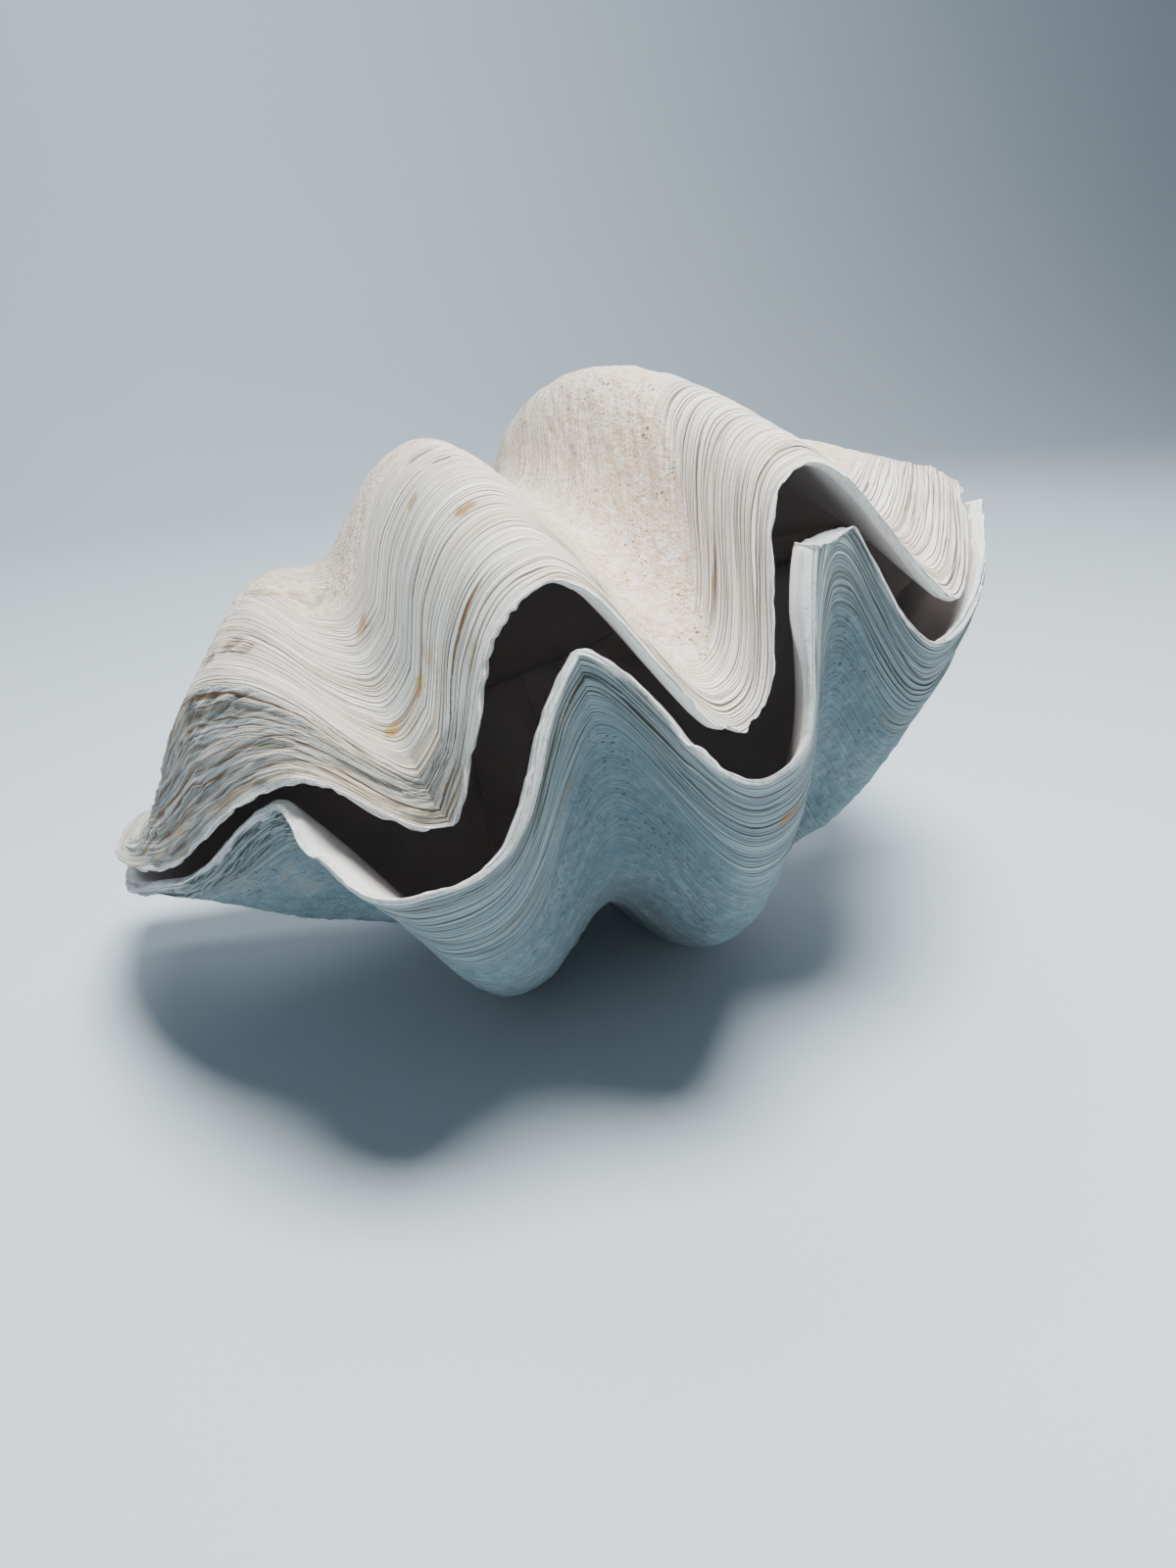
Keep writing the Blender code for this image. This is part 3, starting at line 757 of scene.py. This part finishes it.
def shell_material(name, palette):
    g = Graph(name)
    place = g.node("ShaderNodeTexCoord").outputs["Object"]
    line, rough, stain = g.attr("line"), g.attr("rough"), g.attr("stain")
    worn, painted_blue_reflection, wall = g.attr("worn"), g.attr("painted_blue_reflection"), g.attr("wall")
    layer, across, lip = g.attr("layer"), g.attr("across"), g.attr("lip")
    depth = g.attr("depth")
    inside, deep = g.attr("inside"), g.attr("deep")

    # Growth lines finer than the relief: level lines of noise that is drawn out along the growth.
    def drawn_out(run, rise, seed, detail):
        vector = g.scaled(g.math("MULTIPLY", across, run), g.math("MULTIPLY", layer, rise), palette["seed"] + seed)
        return g.noise(vector, 1.0, detail, 0.5)

    def level_lines(field, turns, width):
        return g.span(g.math("PINGPONG", g.math("MULTIPLY", field, turns), 0.5), width, 0.0)

    broad = drawn_out(0.011, 0.075, 0.0, 3.0)
    thin = drawn_out(0.016, 1.05, 7.0, 3.0)
    hair = drawn_out(0.022, 2.3, 3.0, 2.0)
    main_phase = g.math("ADD", g.math("MULTIPLY", layer, 0.34), g.math("MULTIPLY", drawn_out(0.007, 0.16, 11.0, 2.0), 3.4))
    main_lines = level_lines(main_phase, 1.0, palette["line_width"])
    fine_phase = g.math("ADD", g.math("MULTIPLY", layer, 0.75), g.math("MULTIPLY", drawn_out(0.011, 0.4, 17.0, 2.0), 2.4))
    fine_lines = level_lines(fine_phase, 1.0, 0.22)
    where = drawn_out(0.017, 0.30, 23.0, 3.0)
    group = drawn_out(0.006, 0.055, 29.0, 2.0)
    cloud = g.noise(place, 19.0, 5.0, 0.6)
    patch = g.noise(place, 55.0, 5.0, 0.62)
    grain = g.noise(place, 520.0, 4.0, 0.65)
    crumb = g.noise(place, 190.0, 4.0, 0.6)
    hole = g.cells(place, 330.0)
    crater = g.cells(place, 150.0)

    colour = g.mix(g.span(cloud, 0.35, 0.65), palette["body"], palette["chalk"])
    colour = g.mix(g.math("MULTIPLY", g.span(patch, 0.5, 0.75), 0.45), colour, palette["warm"])
    # Painted reflection: aqua where blue light is reflected into shaded parts.
    colour = g.mix(g.math("MULTIPLY", painted_blue_reflection, g.span(cloud, 0.25, 0.7, 0.45, 0.95)), colour, palette["painted_reflection_blue"])
    colour = g.mix(g.math("MULTIPLY", rough, g.span(crumb, 0.34, 0.62, 0.12, palette["rough_tint"])), colour, palette["blush"])
    sheets = g.noise(g.scaled(g.math("MULTIPLY", across, 0.022), g.math("MULTIPLY", depth, 0.62), palette["seed"]), 1.0, 4.0, 0.6)
    splits = g.noise(g.scaled(g.math("MULTIPLY", across, 0.030), g.math("MULTIPLY", depth, 1.35), palette["seed"] + 4.0), 1.0, 3.0, 0.55)
    # Painted shade: the steep wall of the first fold is coloured dark blue-grey for the shade and reflected blue it
    # lies in, darker still in the splits between its flakes.
    colour = g.mix(g.math("MULTIPLY", wall, g.span(sheets, 0.34, 0.56, 0.45, 1.0)), colour, palette["wall"])
    colour = g.mix(g.math("MULTIPLY", wall, g.span(splits, 0.53, 0.63, 0.0, 0.85)), colour, palette["wall_split_painted_shade"])

    # The oldest part, towards the beak, is worn, banded and stained; on the lower valve its paler colour also thins out
    # that valve's painted shade towards the beak.
    old = g.math("MULTIPLY", g.span(layer, 110.0, 230.0), g.math("SUBTRACT", 1.0, inside))
    colour = g.mix(g.math("MULTIPLY", old, 0.55), colour, palette["old"])
    colour = g.mix(g.math("MULTIPLY", old, g.span(cloud, 0.46, 0.66, 0.0, 0.6)), colour, palette["old_stain"])
    rings = g.noise(g.scaled(g.math("MULTIPLY", across, 0.010), g.math("MULTIPLY", layer, 0.10), palette["seed"] + 6.0), 1.0, 3.0, 0.55)
    crisp = g.math("SUBTRACT", 1.0, g.math("MULTIPLY", rough, palette["rough_hides"]))
    crisp = g.math("ADD", crisp, g.math("MULTIPLY", old, 0.45), True)
    pale = g.math("MULTIPLY", g.span(layer, 48.0, 3.0), g.math("MULTIPLY", palette["pale"], g.math("SUBTRACT", 1.0, inside)))
    colour = g.mix(pale, colour, palette["light"])
    bands = g.math("MULTIPLY", g.span(broad, 0.50, 0.66), palette["bands"])
    colour = g.mix(g.math("MULTIPLY", bands, crisp), colour, palette["band"])
    threads = g.math("MULTIPLY", g.span(thin, 0.54, 0.68), palette["threads"])
    colour = g.mix(g.math("MULTIPLY", threads, crisp), colour, palette["thread"])
    grouped = g.span(group, 0.32, 0.52, 0.5, 1.0)
    fine = g.math("MULTIPLY", fine_lines, g.math("MULTIPLY", crisp, g.span(where, 0.35, 0.6, palette["fine"], 0.35)))
    colour = g.mix(fine, colour, palette["thread"])
    strong = g.math("MULTIPLY", main_lines, g.math("MULTIPLY", crisp, g.span(where, 0.36, 0.52, 0.2, palette["lines"])))
    strong = g.math("MULTIPLY", strong, grouped)
    colour = g.mix(strong, colour, palette["line"])
    light = g.math("MULTIPLY", g.span(g.math("PINGPONG", fine_phase, 0.5), 0.30, 0.45), g.span(where, 0.40, 0.60, 0.15, 1.0))
    colour = g.mix(g.math("MULTIPLY", g.math("MULTIPLY", light, crisp), palette["lights"]), colour, palette["light"])
    colour = g.mix(g.math("MULTIPLY", g.math("MULTIPLY", line, g.span(patch, 0.3, 0.6, 0.4, 0.85)), 1.0, True), colour, palette["line"])

    holes = g.math("MULTIPLY", g.span(hole, 0.24, 0.10), g.span(patch, 0.45, 0.60))
    colour = g.mix(g.math("MULTIPLY", holes, g.math("ADD", 0.12, g.math("MULTIPLY", rough, palette["holes"])), True), colour, palette["hole"])
    craters = g.math("MULTIPLY", g.math("MULTIPLY", g.span(crater, 0.20, 0.08), g.span(patch, 0.5, 0.6)), rough)
    colour = g.mix(g.math("MULTIPLY", craters, palette["holes"]), colour, palette["hole"])
    colour = g.mix(g.math("MULTIPLY", stain, g.span(crumb, 0.3, 0.6, 0.55, 1.0)), colour, palette["stain"])
    colour = g.mix(g.math("MULTIPLY", worn, g.span(thin, 0.40, 0.58, 0.4, 1.0)), colour, palette["worn"])
    colour = g.mix(g.math("MULTIPLY", lip, g.span(grain, 0.3, 0.6, 0.45, 0.8)), colour, palette["lip"])

    # The inside: porcelain beside the edge, then painted shade darkening it into the hollow, with a few pinholes.
    pins = g.math("MULTIPLY", g.span(g.cells(place, 115.0), 0.075, 0.045), g.span(patch, 0.44, 0.5))
    bare = g.mix(g.span(cloud, 0.4, 0.65), palette["porcelain"], palette["porcelain_warm"])
    painted_hollow_shade = g.mix(g.span(cloud, 0.35, 0.7), palette["painted_hollow_shade"], palette["painted_hollow_shade_brown"])
    within = g.mix(deep, bare, painted_hollow_shade)
    within = g.mix(g.math("MULTIPLY", pins, g.math("SUBTRACT", 1.0, deep)), within, (0.05, 0.04, 0.035))
    colour = g.mix(inside, colour, within)
    g.put(g.shader.inputs["Base Color"], colour)

    gloss = g.span(grain, 0.3, 0.7, 0.66, 0.88)
    smooth = g.node("ShaderNodeMix", data_type="FLOAT")
    g.put(smooth.inputs[0], g.math("MULTIPLY", inside, g.math("SUBTRACT", 1.0, deep)))
    g.put(smooth.inputs[2], gloss)
    g.put(smooth.inputs[3], g.span(cloud, 0.3, 0.7, 0.34, 0.46))
    g.put(g.shader.inputs["Roughness"], smooth.outputs[0])
    g.shader.inputs["Specular IOR Level"].default_value = 0.32

    # Relief finer than the mesh.
    out = g.math("SUBTRACT", 1.0, inside)
    threads_up = g.math("MULTIPLY", g.math("ADD", thin, g.math("MULTIPLY", hair, 0.5)), g.math("MULTIPLY", crisp, 0.9))
    cuts = g.math("MULTIPLY", g.math("ADD", g.math("MULTIPLY", strong, 1.3), g.math("MULTIPLY", fine, 0.7)), -1.0)
    grains_up = g.math("MULTIPLY", grain, g.math("ADD", 0.2, g.math("MULTIPLY", rough, 2.1)))
    split_down = g.math("MULTIPLY", g.math("MULTIPLY", wall, g.math("ADD", sheets, splits)), -1.6)
    rings_up = g.math("MULTIPLY", g.math("MULTIPLY", rings, old), 5.0)
    sunk = g.math("MULTIPLY", g.math("ADD", holes, craters), g.math("MULTIPLY", g.math("ADD", 0.2, rough), -1.0))
    crumbs_up = g.math("MULTIPLY", crumb, g.math("ADD", 0.15, g.math("MULTIPLY", rough, 2.6)))
    total = g.math("ADD", g.math("ADD", g.math("ADD", threads_up, g.math("ADD", cuts, split_down)), grains_up), g.math("ADD", g.math("ADD", sunk, rings_up), crumbs_up))
    bump = g.node("ShaderNodeBump")
    bump.inputs["Strength"].default_value = palette["bump"]
    bump.inputs["Distance"].default_value = 0.0010
    g.put(bump.inputs["Height"], g.math("MULTIPLY", total, out))
    g.put(g.shader.inputs["Normal"], bump.outputs[0])
    return g.material


UPPER_LOOK = {
    "seed": 1.3,
    "body": (0.86, 0.83, 0.77),
    "chalk": (0.91, 0.90, 0.87),
    "warm": (0.83, 0.75, 0.63),
    # painted reflection: aqua standing in for blue light reflected into shaded parts
    "painted_reflection_blue": (0.60, 0.74, 0.71),
    "blush": (0.76, 0.60, 0.44),
    "old": (0.78, 0.75, 0.69),
    "old_stain": (0.60, 0.53, 0.42),
    "rough_tint": 0.95,
    "rough_hides": 0.80,
    # painted shade: the steep wall's dark blue-grey and the darker splits between its flakes
    "wall": (0.27, 0.325, 0.345),
    "wall_split_painted_shade": (0.11, 0.105, 0.09),
    "bands": 0.6,
    "band": (0.69, 0.60, 0.46),
    "threads": 0.35,
    "thread": (0.40, 0.275, 0.15),
    "fine": 0.9,
    "line_width": 0.25,
    "lights": 0.5,
    "light": (0.93, 0.92, 0.89),
    "pale": 0.0,
    "lines": 1.0,
    "line": (0.15, 0.085, 0.035),
    "holes": 0.8,
    "hole": (0.34, 0.23, 0.15),
    "stain": (0.40, 0.26, 0.085),
    "worn": (0.21, 0.16, 0.11),
    "lip": (0.88, 0.91, 0.90),
    "porcelain": (0.82, 0.80, 0.77),
    "porcelain_warm": (0.78, 0.73, 0.69),
    # painted shade deep inside the hollow
    "painted_hollow_shade": (0.47, 0.44, 0.45),
    "painted_hollow_shade_brown": (0.52, 0.46, 0.44),
    "bump": 0.85,
}
# Painted shade and painted reflection: the lower valve is the same white shell as the upper one, but its outer colours
# are dark blue-grey copies that stand in for the shade on its underside and the blue light reflected into it. Its
# porcelain, lip and stain colours are its own.
LOWER_PAINTED_SHADE_LOOK = dict(
    UPPER_LOOK,
    seed=5.7,
    body=(0.165, 0.265, 0.31),
    chalk=(0.26, 0.36, 0.40),
    warm=(0.29, 0.325, 0.305),
    painted_reflection_blue=(0.145, 0.245, 0.295),
    blush=(0.105, 0.175, 0.21),
    old=(0.50, 0.52, 0.51),
    old_stain=(0.36, 0.36, 0.32),
    rough_tint=0.65,
    rough_hides=0.72,
    band=(0.20, 0.225, 0.205),
    bands=0.55,
    threads=0.5,
    thread=(0.12, 0.135, 0.115),
    lines=0.95,
    line=(0.04, 0.038, 0.024),
    lights=0.6,
    light=(0.50, 0.56, 0.55),
    pale=0.26,
    holes=0.85,
    hole=(0.09, 0.11, 0.12),
    stain=(0.34, 0.20, 0.09),
    worn=(0.30, 0.33, 0.32),
    lip=(0.80, 0.84, 0.84),
    porcelain=(0.84, 0.82, 0.80),
    porcelain_warm=(0.80, 0.76, 0.73),
)

build_valve("upper", UPPER, shell_material("upper_valve_painted_shade_and_reflection_look", UPPER_LOOK))
build_valve("lower", LOWER, shell_material("lower_valve_painted_shade_look", LOWER_PAINTED_SHADE_LOOK))


# ---------------------------------------------------------------- floor, light and camera
def sweep(width, near, far, rise, radius):
    """A floor that turns up into a wall behind."""
    profile = [(-near, 0.0)]
    for k in range(25):
        a = math.pi / 2 * k / 24
        profile.append((far - radius + radius * math.sin(a), radius - radius * math.cos(a)))
    profile.append((far, rise))
    points = [(x, y, z) for y, z in profile for x in (-width, width)]
    faces = [(2 * k, 2 * k + 1, 2 * k + 3, 2 * k + 2) for k in range(len(profile) - 1)]
    mesh = bpy.data.meshes.new("floor_sweep")
    mesh.from_pydata(points, [], faces)
    mesh.polygons.foreach_set("use_smooth", [True] * len(faces))
    made = bpy.data.objects.new("floor_sweep", mesh)
    bpy.context.scene.collection.objects.link(made)
    return made


floor = sweep(6.0, 4.0, 3.2, 4.0, 1.4)
floor.location.z = -0.0003
paper = Graph("floor_paper")
speck = paper.noise(paper.node("ShaderNodeTexCoord").outputs["Object"], 3.0, 2.0)
paper.put(paper.shader.inputs["Base Color"], paper.mix(speck, (0.50, 0.58, 0.64), (0.52, 0.60, 0.66)))
paper.shader.inputs["Roughness"].default_value = 0.9
floor.data.materials.append(paper.material)


def area_light(label, location, aim, size, power, colour):
    data = bpy.data.lights.new(label, "AREA")
    data.shape = "DISK"
    data.size = size
    data.energy = power
    data.color = colour
    made = bpy.data.objects.new(label, data)
    made.location = location
    direction = np.array(aim) - np.array(location)
    made.rotation_euler = (
        math.atan2(math.hypot(direction[0], direction[1]), -direction[2]),
        0.0,
        math.atan2(direction[1], direction[0]) - math.pi / 2,
    )
    bpy.context.scene.collection.objects.link(made)


area_light("key_light", (0.15, -0.25, 1.55), (0.0, 0.0, 0.12), 0.7, 66.0, (1.0, 0.985, 0.96))
area_light("front_fill", (-0.9, -1.5, 0.85), (0.0, 0.0, 0.14), 1.2, 3.0, (0.88, 0.95, 1.0))
area_light("wall_light", (0.0, 1.3, 2.7), (0.0, 3.2, 0.9), 1.6, 60.0, (0.94, 0.97, 1.0))
area_light("back_light", (0.9, 1.3, 1.3), (0.0, 0.0, 0.15), 1.0, 9.0, (1.0, 1.0, 1.0))

world = bpy.data.worlds.new("studio")
bpy.context.scene.world = world
world.use_nodes = True
background = world.node_tree.nodes["Background"]
background.inputs["Color"].default_value = (0.78, 0.88, 1.0, 1.0)
background.inputs["Strength"].default_value = 0.19

lens = bpy.data.cameras.new("photo_camera")
lens.sensor_fit = "AUTO"
lens.sensor_width = 36.0
lens.lens = 36.0 * 1155.0 / 1600.0
lens.clip_start = 0.01
camera = bpy.data.objects.new("photo_camera", lens)
camera.location = PLACE + np.array([-0.15951, -0.6014, 0.17764])
camera.rotation_euler = [math.radians(a) for a in (68.483, 2.628, -20.212)]
bpy.context.scene.collection.objects.link(camera)
bpy.context.scene.camera = camera
